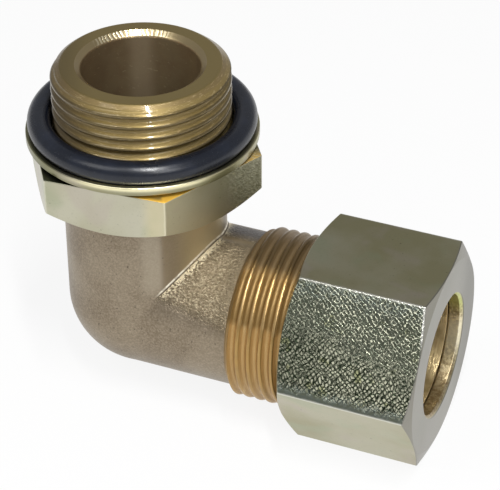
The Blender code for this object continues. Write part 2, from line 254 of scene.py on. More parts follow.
class Finish:
    """A material whose nodes are added one call at a time."""

    def __init__(self, name, tree=None):
        if tree is None:
            self.material = bpy.data.materials.new(name)
            self.material.use_nodes = True
            tree = self.material.node_tree
            self.shader = tree.nodes["Principled BSDF"]
        self.tree = tree
        self._place = None

    def node(self, kind, settings=None, inputs=None):
        node = self.tree.nodes.new(kind)
        for key, value in (settings or {}).items():
            if key == "stops":
                ramp = node.color_ramp
                while len(ramp.elements) < len(value):
                    ramp.elements.new(1.0)
                for stop, (position, shade) in zip(ramp.elements, value):
                    stop.position = position
                    stop.color = (*shade, 1.0)
            else:
                setattr(node, key, value)
        for key, value in (inputs or {}).items():
            self.feed(node.inputs[key], value)
        return node

    def feed(self, socket, value):
        if isinstance(value, Reading):
            value = value.socket
        if isinstance(value, bpy.types.NodeSocket):
            self.tree.links.new(value, socket)
        elif hasattr(value, "__len__") and socket.type == "RGBA":
            socket.default_value = (*value[:3], 1.0)
        else:
            socket.default_value = value

    def maths(self, operation, *values):
        node = self.node("ShaderNodeMath", {"operation": operation}, dict(enumerate(values)))
        return Reading(self, node.outputs[0])

    def least(self, a, b):
        return self.maths("MINIMUM", a, b)

    def most(self, a, b):
        return self.maths("MAXIMUM", a, b)

    def place(self):
        """Where a point is on the resting part, in millimetres."""
        if self._place is None:
            spot = self.node("ShaderNodeTexCoord").outputs["Object"]
            inputs = {0: spot, "Scale": 1.0 / MM}
            scaled = self.node("ShaderNodeVectorMath", {"operation": "SCALE"}, inputs)
            self._place = scaled.outputs[0]
        return self._place

    def axes(self, vector=None):
        parts = self.node("ShaderNodeSeparateXYZ", None, {0: vector or self.place()})
        return [Reading(self, parts.outputs[i]) for i in range(3)]

    def vector(self, x, y, z):
        return self.node("ShaderNodeCombineXYZ", None, {0: x, 1: y, 2: z}).outputs[0]

    def noise(self, scale, detail=2.0, roughness=0.5, vector=None, distortion=0.0):
        inputs = {
            "Vector": vector or self.place(),
            "Scale": scale,
            "Detail": detail,
            "Roughness": roughness,
            "Distortion": distortion,
        }
        return Reading(self, self.node("ShaderNodeTexNoise", None, inputs).outputs[0])

    def blend(self, factor, first, second):
        inputs = {0: factor, 6: first, 7: second}
        return self.node("ShaderNodeMix", {"data_type": "RGBA"}, inputs).outputs[2]

    def layers(self, base, *coats):
        """A base colour with (amount, colour) coats laid over it, one after another."""
        for amount, shade in coats:
            base = self.blend(amount, base, shade)
        return base

    def bump(self, height, strength, distance):
        inputs = {"Strength": strength, "Distance": distance, "Height": height}
        return self.node("ShaderNodeBump", None, inputs).outputs[0]

    def surface(self, **inputs):
        for key, value in inputs.items():
            self.feed(self.shader.inputs[key.replace("_", " ")], value)
        return self.material


# Mesh making


def scene_object(name, mesh):
    item = bpy.data.objects.new(name, mesh)
    bpy.context.scene.collection.objects.link(item)
    return item


def grid_faces(rows, columns, close_rows, close_columns):
    """Quads of a grid of points, rows by columns, closed round either way."""
    i, j = np.meshgrid(
        np.arange(rows if close_rows else rows - 1),
        np.arange(columns if close_columns else columns - 1),
        indexing="ij",
    )
    after_i = (i + 1) % rows
    after_j = (j + 1) % columns
    corners = (
        i * columns + j,
        i * columns + after_j,
        after_i * columns + after_j,
        after_i * columns + j,
    )
    return np.stack(corners, axis=-1).reshape(-1, 4)


def grid_mesh(name, points, faces, extra=()):
    mesh = bpy.data.meshes.new(name)
    mesh.from_pydata(points.reshape(-1, 3).tolist(), [], faces.tolist() + list(extra))
    return mesh


def tidy(mesh):
    """Weld a mesh, point its faces outward and drop empty faces."""
    shape = bmesh.new()
    shape.from_mesh(mesh)
    bmesh.ops.remove_doubles(shape, verts=shape.verts, dist=WELD)
    bmesh.ops.dissolve_degenerate(shape, edges=shape.edges, dist=WELD)
    bmesh.ops.recalc_face_normals(shape, faces=shape.faces)
    shape.to_mesh(mesh)
    shape.free()
    return mesh


def rounded(corners, steps):
    """Points of a closed outline of (x, y, radius) corners, with each rounded corner as an arc."""
    points = []
    total = len(corners)
    for k, (x, y, radius) in enumerate(corners):
        here = np.array((x, y))
        if radius <= 0.0:
            points.append(here)
            continue
        back = np.array(corners[k - 1][:2]) - here
        on = np.array(corners[(k + 1) % total][:2]) - here
        reach = min(np.linalg.norm(back), np.linalg.norm(on)) * 0.49
        back /= np.linalg.norm(back)
        on /= np.linalg.norm(on)
        half = math.acos(max(-1.0, min(1.0, float(back @ on)))) / 2.0
        run = min(radius / math.tan(half), reach)
        radius = run * math.tan(half)
        middle = here + (back + on) / np.linalg.norm(back + on) * (radius / math.sin(half))
        start = here + back * run - middle
        end = here + on * run - middle
        sweep = math.atan2(start[0] * end[1] - start[1] * end[0], float(start @ end))
        for step in range(steps + 1):
            turn = sweep * step / steps
            c, s = math.cos(turn), math.sin(turn)
            spoke = (start[0] * c - start[1] * s, start[0] * s + start[1] * c)
            points.append(middle + np.array(spoke))
    return np.array(points)


def swept(name, outline, steps):
    """Solid turned about Z from a closed outline of (radius, height) points."""
    angles = np.arange(steps) * FULL_TURN / steps
    radius, height = outline[:, :1], outline[:, 1:]
    points = (radius * np.cos(angles), radius * np.sin(angles), np.repeat(height, steps, 1))
    return tidy(grid_mesh(name, np.stack(points, -1), grid_faces(len(outline), steps, True, True)))


def turned(name, corners, steps, arc_steps=4):
    """Solid turned about Z from a closed outline of (radius, height, rounding) corners."""
    return swept(name, rounded(corners, arc_steps), steps)


def thread_drop(phase, sizes):
    """How far a thread's surface lies under its crest. Phase counts pitches from the crest."""
    along = np.abs(phase - np.round(phase)) * sizes.pitch
    half = sizes.pitch / 2.0
    crest_reach = sizes.crest_round * math.cos(sizes.flank)
    crest_edge = sizes.crest_round * (1.0 - math.sin(sizes.flank))
    root_reach = half - sizes.root_round * math.cos(sizes.flank)
    flank_end = crest_edge + (root_reach - crest_reach) / math.tan(sizes.flank)
    root = flank_end - sizes.root_round * math.sin(sizes.flank)
    crest = sizes.crest_round - np.sqrt(np.maximum(sizes.crest_round**2 - along**2, 0.0))
    root = root + np.sqrt(np.maximum(sizes.root_round**2 - (half - along) ** 2, 0.0))
    side = crest_edge + (along - crest_reach) / math.tan(sizes.flank)
    return np.where(along < crest_reach, crest, np.where(along > root_reach, root, side))


def threaded_rod(name, sizes, crest, bottom, top):
    """Round-crested right-hand thread as one spiral grid, cut flat at both ends."""
    steps = sizes.ring_steps
    per_pitch = 16
    low = (math.floor((bottom - crest) / sizes.pitch) - 1) * per_pitch
    high = (math.ceil((top - crest) / sizes.pitch) + 1) * per_pitch
    row = np.arange(low, high + 1)[:, None] / per_pitch
    turn = np.arange(steps)[None, :] / steps
    radius = sizes.thread_diameter / 2.0 - thread_drop(row + 0.0 * turn, sizes)
    height = crest + sizes.pitch * (row + turn)
    around = turn * FULL_TURN
    points = np.stack((radius * np.cos(around), radius * np.sin(around), height), -1)
    rows = len(row)
    seam = []
    for i in range(rows - 1 - per_pitch):
        last = i * steps + steps - 1
        first = (i + per_pitch) * steps
        seam.append((last, first, first + steps, last + steps))
    mesh = grid_mesh(name, points, grid_faces(rows, steps, False, False), seam)
    shape = bmesh.new()
    shape.from_mesh(mesh)
    for level, outward in ((bottom, -1.0), (top, 1.0)):
        cut = bmesh.ops.bisect_plane(
            shape,
            geom=shape.verts[:] + shape.edges[:] + shape.faces[:],
            plane_co=(0.0, 0.0, level),
            plane_no=(0.0, 0.0, outward),
            clear_outer=True,
        )
        rim = [edge for edge in cut["geom_cut"] if isinstance(edge, bmesh.types.BMEdge)]
        bmesh.ops.holes_fill(shape, edges=rim)
    bmesh.ops.recalc_face_normals(shape, faces=shape.faces)
    shape.to_mesh(mesh)
    shape.free()
    return mesh


def onto_arm(mesh, sizes):
    """Lay a mesh made about Z along the arm."""
    mesh.transform(Matrix.Translation((0.0, 0.0, -sizes.arm_drop)) @ ARM_TURN)
    return mesh


def combined(name, mesh, others):
    """One solid from a mesh and (mesh, operation) pairs. Faces keep their own material."""
    item = scene_object(name, mesh)
    cutters = []
    for other, operation in others:
        cutter = scene_object(name + "_" + other.name, other)
        cutters.append(cutter)
        boolean = item.modifiers.new(other.name, "BOOLEAN")
        boolean.operation = operation
        boolean.object = cutter
        boolean.solver = "MANIFOLD"
        boolean.material_mode = "TRANSFER"
    bpy.context.view_layer.update()
    result = bpy.data.meshes.new_from_object(item.evaluated_get(bpy.context.evaluated_depsgraph_get()))
    item.modifiers.clear()
    item.data = result
    for cutter in cutters:
        bpy.data.objects.remove(cutter)
    return item


def painted(mesh, material):
    mesh.materials.clear()
    mesh.materials.append(material)
    return mesh


def shaded(item, angle):
    """Smooth shading with sharp edges kept and flat faces left flat."""
    item.data.shade_smooth()
    item.data.set_sharp_from_angle(angle=angle)
    normals = item.modifiers.new("Flat faces stay flat", "WEIGHTED_NORMAL")
    normals.keep_sharp = True
    normals.weight = 60
    return item


def dressed(item, body, node):
    """Hand a finished piece to its CAD body, in the place of its CAD node."""
    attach(item, body)
    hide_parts(node)
    return item


def chamfered_rod(name, sizes, crest, bottom, top, brass):
    """Threaded rod with its ends cut to rounded cones, as an object of its own."""
    rod = threaded_rod(name + "_rod", sizes, crest, bottom - MM, top + MM)
    outside = sizes.thread_diameter / 2.0 + 0.3 * MM
    run = 1.4 * MM
    corners = [
        (0.0, bottom, 0.0),
        (sizes.thread_end, bottom, 0.15 * MM),
        (outside, bottom + run, 0.0),
        (outside, top - run, 0.0),
        (sizes.thread_end, top, 0.7 * MM),
        (0.0, top, 0.0),
    ]
    cut = turned(name + "_cut", corners, sizes.ring_steps, 8)
    return combined(name, painted(rod, brass), [(painted(cut, brass), "INTERSECT")])


def smooth(value, low, high):
    """0 below low, 1 above high, smooth between, for arrays."""
    share = np.clip((value - low) / (high - low), 0.0, 1.0)
    return share * share * (3.0 - 2.0 * share)


def forged_blank(sizes):
    """The forging's outside: two round necks and a ball, softly mitred, as one grid of sections."""
    away = 16.0 * MM
    top = sizes.neck_top + sizes.arm_drop
    end = sizes.arm_start + 0.45 * MM
    spread = np.linspace(-1.0, 1.0, 97)
    fan = math.pi / 4.0 * (1.0 + np.sign(spread) * np.abs(spread) ** 1.5)
    centres, headings = [], []
    for height in np.linspace(top, away, 8)[:-1]:
        centres.append((0.0, height))
        headings.append((-1.0, 0.0))
    for turn in fan:
        reach = away / max(math.cos(turn), math.sin(turn))
        heading = (-math.cos(turn), -math.sin(turn))
        centres.append((away + heading[0] * reach, away + heading[1] * reach))
        headings.append(heading)
    for along in np.linspace(away, end, 5)[1:]:
        centres.append((along, 0.0))
        headings.append((0.0, -1.0))
    centres = np.array(centres)
    headings = np.array(headings)
    steps = sizes.ring_steps
    phi = np.arange(steps) * FULL_TURN / steps
    rays = np.empty((len(centres), steps, 3))
    rays[..., 0] = headings[:, :1] * np.cos(phi)
    rays[..., 1] = np.sin(phi)[None, :]
    rays[..., 2] = headings[:, 1:] * np.cos(phi)
    origins = np.stack((centres[:, 0], np.zeros(len(centres)), centres[:, 1]), -1)[:, None, :]

    def outside(points):
        x, y, z = points[..., 0], points[..., 1], points[..., 2]
        down = np.minimum(z, 0.0)
        left = np.minimum(x, 0.0)
        body_reach = np.sqrt(x**2 + y**2 + down**2)
        arm_reach = np.sqrt(z**2 + y**2 + left**2)
        settle = smooth(-z, 0.0, sizes.arm_radius)
        body = body_reach - sizes.body_radius + (sizes.body_radius - sizes.arm_radius) * settle
        web = np.clip(1.0 - ((y + 5.6 * MM) / (5.6 * MM)) ** 2, 0.0, 1.0)
        web = web * smooth(x, -1.0 * MM, 3.0 * MM)
        web = web * (1.0 - smooth((x - z) / math.sqrt(2.0), -0.5 * MM, 4.0 * MM))
        arm = arm_reach - sizes.arm_radius - sizes.web * web
        facing = (x * left + y * y + down * z) / np.maximum(body_reach * arm_reach, 1e-9)
        crease = np.clip(1.0 - facing, 0.0, 1.0)
        soft = np.maximum(sizes.mitre_round * crease, 0.02 * MM)
        share = np.clip(0.5 + 0.5 * (arm - body) / soft, 0.0, 1.0)
        joined = arm * (1.0 - share) + body * share - soft * share * (1.0 - share)
        line = np.exp(-(((arm - body) / (0.16 * MM)) ** 2)) * np.clip(2.0 * crease, 0.0, 1.0)
        return joined - sizes.mitre_bead * line

    near = np.zeros(rays.shape[:2])
    far = np.full(rays.shape[:2], 40.0 * MM)
    for _ in range(36):
        middle = (near + far) / 2.0
        inside = outside(origins + middle[..., None] * rays) < 0.0
        near = np.where(inside, middle, near)
        far = np.where(inside, far, middle)
    points = origins + near[..., None] * rays
    points[..., 2] -= sizes.arm_drop
    rows = len(centres)
    caps = [list(range(steps)), list(range((rows - 1) * steps, rows * steps))]
    return tidy(grid_mesh("forged_blank", points, grid_faces(rows, steps, False, True), caps))


def ray(turn):
    return np.array((math.cos(turn), math.sin(turn)))


def hexagon_outline(nut):
    """Points round a hexagon with softened corners, the first corner on +X."""
    side_steps, corner_steps = 24, 4
    sector = math.pi / 3.0
    reach = (nut.flats / 2.0 - nut.corner) / math.cos(sector / 2.0)
    points = []
    for k in range(6):
        heading, following = k * sector, (k + 1) * sector
        for step in range(corner_steps + 1):
            turn = heading + sector * (step / corner_steps - 0.5)
            points.append(reach * ray(heading) + nut.corner * ray(turn))
        start = points[-1]
        target = reach * ray(following) + nut.corner * ray(following - sector / 2.0)
        for step in range(1, side_steps):
            points.append(start + (target - start) * step / side_steps)
    return np.array(points)


def hexagon_nut(name, nut, section):
    """Nut whose section, a function of angle and outer radius, is swept round its hexagon."""
    columns = []
    for x, y in hexagon_outline(nut):
        heading = math.atan2(y, x) + nut.turn
        profile = section(heading, math.hypot(x, y))
        c, s = ray(heading)
        columns.append(np.stack((profile[:, 0] * c, profile[:, 0] * s, profile[:, 1]), -1))
    columns = np.array(columns)
    return tidy(grid_mesh(name, columns, grid_faces(len(columns), columns.shape[1], True, True)))


def thread_rows(sizes, crest, heading, start, end, mouth):
    """Points down a nut's inner thread at one angle, from start to end, opening out at each mouth."""
    rows = max(2, int(abs(end - start) / sizes.pitch * 12))
    along = np.linspace(start, end, rows)
    phase = (along - crest) / sizes.pitch - heading / FULL_TURN
    radius = sizes.thread_diameter / 2.0 - thread_drop(phase, sizes) + sizes.thread_play
    for level in (start, end):
        radius = np.maximum(radius, mouth - np.abs(along - level))
    return np.stack((radius, along), -1)


# Operators: one for each piece or pair of pieces


class ELBOW_OT_body(bpy.types.Operator):
    """Forge, thread and bore the brass elbow"""

    bl_idname = "elbow_fitting.body"
    bl_label = "Brass body"

    def bores(self, sizes):
        """What is drilled out of the stud and of the arm, each past its open end."""
        over = MM
        depth = sizes.stud_mouth_depth
        mouth = sizes.stud_bore + sizes.stud_mouth * (depth + over) / depth
        low = -sizes.arm_drop - sizes.stud_bore
        stud_corners = [
            (0.0, sizes.stud_reach + over, 0.0),
            (mouth, sizes.stud_reach + over, 0.0),
            (sizes.stud_bore, sizes.stud_reach - depth, 0.6 * MM),
            (sizes.stud_bore, low, sizes.stud_bore),
            (0.0, low, 0.0),
        ]
        socket_end = sizes.arm_reach - sizes.socket_depth
        cone = sizes.socket + (sizes.cone_depth + over) * math.tan(sizes.cone_angle)
        arm_corners = [
            (0.0, sizes.arm_reach + over, 0.0),
            (cone, sizes.arm_reach + over, 0.0),
            (sizes.socket, sizes.arm_reach - sizes.cone_depth, 0.0),
            (sizes.socket, socket_end, 0.3 * MM),
            (sizes.arm_bore, socket_end, 0.2 * MM),
            (sizes.arm_bore, -sizes.arm_bore, sizes.arm_bore),
            (0.0, -sizes.arm_bore, 0.0),
        ]
        stud_bore = turned("stud_bore", stud_corners, sizes.ring_steps, 12)
        return stud_bore, onto_arm(turned("arm_bore", arm_corners, sizes.ring_steps, 12), sizes)

    def execute(self, context):
        sizes = context.scene.fitting_sizes
        blank = painted(forged_blank(sizes), forged_skin(context))
        brass = turned_brass(context, "stud")
        stud = chamfered_rod(
            "stud", sizes, sizes.stud_crest, sizes.stud_bottom, sizes.stud_reach, brass
        )
        brass = turned_brass(context, "arm")
        arm = chamfered_rod("arm", sizes, sizes.arm_crest, sizes.arm_start, sizes.arm_reach, brass)
        onto_arm(arm.data, sizes)
        inner = bored_brass(context)
        stud_bore, arm_bore = self.bores(sizes)
        parts = [
            (stud.data, "UNION"),
            (arm.data, "UNION"),
            (painted(stud_bore, inner), "DIFFERENCE"),
            (painted(arm_bore, inner), "DIFFERENCE"),
        ]
        body = combined("brass_body", blank, parts)
        for item in (stud, arm):
            bpy.data.objects.remove(item)
        tidy(body.data)
        shaded(body, BODY_SHARP)
        dressed(body, "elbow", "elbow_body")
        return {"FINISHED"}


class ELBOW_OT_seal(bpy.types.Operator):
    """Turn the washer and mould the O-ring that lies in it"""

    bl_idname = "elbow_fitting.seal"
    bl_label = "Washer and O-ring"
    round_steps = 40

    def execute(self, context):
        steps = context.scene.fitting_sizes.ring_steps
        seal = context.scene.seal_sizes
        floor_level = seal.floor - seal.thickness
        lip = -math.asin(seal.rise / seal.seat)
        hollow = []
        for turn in np.linspace(-math.pi / 2.0, lip, 9):
            radius = seal.middle + seal.seat * math.cos(turn)
            hollow.append((radius, seal.rise + seal.seat * math.sin(turn), 0.0))
        hollow[-1] = (*hollow[-1][:2], 0.06 * MM)
        corners = [
            (seal.rim, 0.0, seal.edge),
            (seal.rim, -seal.thickness, seal.edge),
            (seal.bore, -seal.thickness, 0.08 * MM),
            (seal.bore, floor_level, 0.08 * MM),
        ]
        mesh = painted(turned("plated_washer", corners + hollow, steps, 5), washer_plating(context))
        washer = scene_object("plated_washer", mesh)
        shaded(washer, TURNED_SHARP)
        dressed(washer, "seal", "retaining_washer")
        around = np.arange(self.round_steps) * FULL_TURN / self.round_steps
        circle = np.stack((np.cos(around), np.sin(around)), -1) * seal.section / 2.0
        mesh = swept("rubber_ring", circle + (seal.middle, seal.rise), steps)
        ring = scene_object("rubber_ring", painted(mesh, rubber(context)))
        ring.data.shade_smooth()
        dressed(ring, "seal", "o_ring")
        return {"FINISHED"}


class ELBOW_OT_lock_nut(bpy.types.Operator):
    """Cut the thin hexagon nut with its inner thread"""

    bl_idname = "elbow_fitting.lock_nut"
    bl_label = "Lock nut"

    def execute(self, context):
        sizes = context.scene.fitting_sizes
        nut = context.scene.lock_nut_sizes
        face = nut.flats / 2.0 - FACE_INSET
        mouth = sizes.thread_diameter / 2.0 + THREAD_MOUTH

        def section(heading, radius):
            low = nut.bottom + (radius - face) * math.tan(nut.chamfer)
            outer = rounded(
                [
                    (mouth, nut.bottom, 0.0),
                    (face, nut.bottom, nut.edge),
                    (radius, low, nut.edge),
                    (radius, nut.top, nut.edge),
                    (mouth, nut.top, 0.0),
                ],
                4,
            )
            inner = (nut.top - MOUTH_INSET, nut.bottom + MOUTH_INSET)
            rows = thread_rows(sizes, sizes.stud_crest, heading, *inner, mouth)
            return np.concatenate((outer, rows))

        mesh = hexagon_nut("plated_lock_nut", nut, section)
        item = scene_object("plated_lock_nut", painted(mesh, lock_nut_plating(context)))
        shaded(item, NUT_SHARP)
        dressed(item, "locknut", "lock_nut")
        return {"FINISHED"}


class ELBOW_OT_compression_end(bpy.types.Operator):
    """Cut the long hexagon nut and turn the brass ring inside it"""

    bl_idname = "elbow_fitting.compression_end"
    bl_label = "Compression nut and ring"

    def execute(self, context):
        sizes = context.scene.fitting_sizes
        nut = context.scene.compression_end_sizes
        face = nut.flats / 2.0 - FACE_INSET
        mouth = sizes.thread_diameter / 2.0 + THREAD_MOUTH
        cone_end = nut.end - nut.lip
        cone_start = cone_end - (nut.chamber - nut.lip_radius)
        chamber_start = cone_start - nut.chamber_length
        relief = sizes.thread_diameter / 2.0 + 0.3 * MM
        thread_end = chamber_start - (relief - nut.chamber) / 2.0

        def section(heading, radius):
            low = nut.start + (radius - face) * math.tan(nut.inner_chamfer)
            high = nut.end - (radius - face) * math.tan(nut.outer_chamfer)
            outer = rounded(
                [
                    (mouth, nut.start, 0.0),
                    (face, nut.start, nut.edge),
                    (radius, low, nut.edge),
                    (radius, high, nut.edge),
                    (face, nut.end, nut.edge),
                    (nut.lip_radius + nut.mouth, nut.end, 0.12 * MM),
                    (nut.lip_radius, nut.end - nut.mouth, 0.2 * MM),
                    (nut.lip_radius, cone_end, 0.1 * MM),
                    (nut.chamber, cone_start, 0.2 * MM),
                    (nut.chamber, chamber_start, 0.1 * MM),
                    (relief, thread_end, 0.0),
                ],
                4,
            )
            inner = (thread_end - MM, nut.start + MOUTH_INSET)
            rows = thread_rows(sizes, sizes.arm_crest, heading, *inner, mouth)
            return np.concatenate((outer, rows))

        mesh = onto_arm(hexagon_nut("plated_compression_nut", nut, section), sizes)
        item = scene_object("plated_compression_nut", painted(mesh, compression_nut_plating(context)))
        shaded(item, NUT_SHARP)
        dressed(item, "tubenut", "compression_nut")
        tube, back, front = nut.tube, nut.ring_back, nut.ring_back - nut.ring_length
        wall, collar, taper, nose = 0.3 * MM, 2.1 * MM, 1.2 * MM, 0.85 * MM
        shoulder = back - (nut.chamber - wall - tube - wall)
        collar_end = shoulder - 3.4 * MM
        corners = [
            (tube, back, 0.1 * MM),
            (tube + wall, back, 0.1 * MM),
            (tube + collar, shoulder, 0.25 * MM),
            (tube + collar, collar_end, 0.15 * MM),
            (tube + taper, collar_end - MM, 0.15 * MM),
            (tube + nose, front, 0.15 * MM),
            (tube, front, 0.1 * MM),
        ]
        ring = onto_arm(turned("brass_ring", corners, sizes.ring_steps), sizes)
        item = scene_object("brass_ring", painted(ring, ring_brass(context)))
        shaded(item, TURNED_SHARP)
        dressed(item, "ferrule", "compression_ring")
        return {"FINISHED"}


# Finishes


def above_arm(context, z):
    """Height over the arm's axis, in millimetres."""
    return z + context.scene.fitting_sizes.arm_drop / MM


def forged_skin(context):
    """Sand-textured brass skin with fine pits and dull patches, a painted highlight and painted shadow
    along the mitre, and painted light and shade beside it.
    """
    shades = context.scene.fitting_colours
    skin = Finish("forged_skin")
    x, y, z = skin.axes()
    up = above_arm(context, z)
    turn = skin.maths("ARCTAN2", y, x)
    broad = skin.noise(0.12, 3.0)
    grain = skin.noise(3.2, 4.0, 0.65)
    fine = skin.noise(9.0, 2.0)
    pits = skin.noise(2.3, 1.0).ease(0.70, 0.76)

    # The line of the mitre: a painted highlight with a painted shadow beside it. Past is the way
    # across it, towards the arm.
    bow = skin.most(1.0 - ((y + 5.4) / 5.8) ** 2.0, 0.0) * -0.9
    past = x - up - bow
    inside = x.ease(6.0, 7.2)
    mitre_highlight = abs(past + 0.1).ease(0.26, 0.12) * inside
    mitre_highlight = mitre_highlight * (0.45 + 0.5 * skin.noise(1.3, 3.0).ease(0.42, 0.52))
    mitre_shadow = abs(past - 0.3).ease(0.18, 0.06) * inside

    # The neck beside it: a painted pale reflection band, then painted shade in brown that turns to
    # painted gold light in the corner.
    ragged = turn + grain * 0.12
    reflection_band = (turn + broad * 0.1).ease(-1.24, -1.06) * ragged.ease(-0.88, -0.94) * up.ease(5.0, 9.0)
    shade_zone = ragged.ease(-0.92, -0.84) * past.ease(0.1, -0.1) * up.ease(5.0, 8.0) * y.ease(2.0, -1.0)
    shade_zone_colour = skin.blend(turn.ease(-0.85, -0.35), (0.24, 0.183, 0.108), (0.78, 0.64, 0.37))
    # Painted light lifting the corner where the arm meets the neck.
    corner = x.ease(8.0, 12.0) * up.ease(4.0, 9.0)
    corner_light = skin.blend(shade_zone, (0.38, 0.30, 0.18), (0.54, 0.44, 0.255))

    # The rough side of the arm: grain with painted shade in its hollows and painted glints on its
    # grains, brightest along the mitre.
    rough = past.ease(0.1, 0.5) * (up + (x - 8.3) * 0.22 + grain * 4.0).ease(7.0, 8.6)
    rough = rough * abs(y).ease(0.0, 1.2) * (x + grain * 2.0).ease(19.6, 17.6)
    fringe = (past + grain * 1.6).ease(3.0, 1.4) * rough
    chips = skin.noise(1.0, 2.0, 0.6, skin.vector(x * 2.1 + up * 1.3, y * 2.9, up * 3.6 - x * 1.3))
    bright = (chips + fringe * (0.15 + 0.07 * corner)).ease(0.56, 0.64)
    base = skin.layers(
        skin.blend(broad.ease(0.35, 0.65), shades.forged, shades.forged_dark),
        (grain.ease(0.35, 0.75) * 0.35, (0.60, 0.50, 0.38)),
        (pits * 0.6, (0.08, 0.06, 0.045)),
        (shade_zone * 0.8, shade_zone_colour),
        (reflection_band * 0.45, (0.46, 0.40, 0.30)),
        (corner * 0.7, corner_light),
        (rough * 0.5, (0.25, 0.20, 0.12)),
        # Painted shade in the hollows of the grain, then painted glints on the grains.
        (rough * chips.ease(0.48, 0.38) * 0.55, (0.12, 0.09, 0.05)),
        (rough * bright * (0.3 + 0.65 * fringe), (0.92, 0.80, 0.55)),
        (x.ease(14.6, 17.0) * up.ease(0.0, 6.0) * 0.55, (0.19, 0.15, 0.09)),
        # Painted shade along the top of the arm, on its far side.
        (up.ease(9.3, 11.2) * y.ease(0.0, 3.0) * x.ease(11.5, 13.0) * 0.8, (0.11, 0.105, 0.11)),
        (mitre_shadow * 0.55, (0.09, 0.065, 0.04)),
        (mitre_highlight, (1.0, 0.93, 0.76)),
    )
    height = grain * 0.18 + fine * 0.14 - pits * 0.4 + rough * chips * 3.2
    return skin.surface(
        Base_Color=base,
        Metallic=0.85 - 0.25 * corner,
        Roughness=0.36 + broad * 0.08,
        Normal=skin.bump(height, 0.7, 0.16 * MM),
    )


def turned_brass(context, where):
    """Machined brass: tool lines round the thread and dull stains, with painted light on the flanks,
    painted shade in the roots and on the stud's left, and on the arm a painted highlight band and
    painted shade over its top.
    """
    sizes = context.scene.fitting_sizes
    shades = context.scene.fitting_colours
    brass = Finish("turned_" + where)
    x, y, z = brass.axes()
    stud = where == "stud"
    along, side = (z, x) if stud else (x, above_arm(context, z))
    radius = (side * side + y * y) ** 0.5
    crest = sizes.thread_diameter / 2.0 / MM
    flanks = radius.ease(crest - 0.18, crest - 0.32)
    roots = radius.ease(crest - 0.77, crest - 0.89)
    lines = brass.noise(1.0, 3.0, 0.6, brass.vector(along * 5.0, radius * 5.0, 0.0))
    stains = brass.noise(0.35, 4.0, 0.6)
    scratches = brass.noise(1.0, 3.0, 0.7, brass.vector(along * 14.0, x * 0.8 + y * 0.6, y * 0.5))
    if stud:
        base = brass.blend(stains.ease(0.42, 0.68) * 0.5, shades.stud, shades.stud_dark)
        groove_light, scratched, metal, gloss = (0.26, 0.187, 0.062), 0.45, 0.88, 0.30
        reach = sizes.stud_reach / MM
        flat = z.ease(reach - 0.15, reach - 0.05)
        # Painted shade on the stud's left side, over the thread and the top face.
        left = (x * 0.91 + y * 0.41).ease(-6.0, -12.0) * 0.6
        top_face_shaded = brass.blend(left, (0.31, 0.235, 0.09), (0.155, 0.115, 0.05))
        marks = ((left, (0.11, 0.075, 0.03)), (flat, top_face_shaded))
        coat = (0.85 - flanks * 0.4) * (1.0 - flat * 0.7)
    else:
        base = brass.blend(stains.ease(0.42, 0.68) * 0.4, shades.arm, shades.arm_dark)
        groove_light, scratched, metal, gloss = (0.47, 0.30, 0.115), 0.6, 0.82, 0.24
        reach = sizes.arm_reach / MM
        flat = x.ease(reach - 3.0, reach - 2.0)
        # A painted highlight band across the arm, bright on the crests, with painted shade on the
        # flanks.
        lean = brass.maths("ARCTAN2", side, -y) + stains * 0.2
        painted_glow = lean.ease(0.50, 0.62) * lean.ease(1.35, 1.12)
        marks = (
            (painted_glow * flanks * 0.85, (0.22, 0.135, 0.042)),
            (painted_glow * (1.0 - flanks) * lines.ease(0.40, 0.60) * 0.35, (0.85, 0.63, 0.34)),
            # Painted shade over the top of the arm.
            (lean.ease(1.15, 1.40) * lean.ease(2.7, 2.3) * 0.85, (0.15, 0.105, 0.052)),
        )
        coat = 0.0
    base = brass.layers(
        base,
        # Painted light on the thread's flanks, painted shade in its roots.
        (flanks * 0.85, groove_light),
        (roots * 0.5, (0.20, 0.14, 0.06)),
        (scratches.ease(0.58, 0.66) * scratched, (0.70, 0.55, 0.30)),
        *marks,
    )
    dull = flanks * (1.0 - flat)
    return brass.surface(
        Base_Color=base,
        Metallic=metal - dull * 0.30,
        Roughness=gloss + dull * 0.12 + stains * 0.1 + scratches * 0.04,
        Coat_Weight=coat,
        Coat_Roughness=0.1,
        Normal=brass.bump(lines * 0.7 + scratches * 0.4, 0.2, 0.05 * MM),
    )


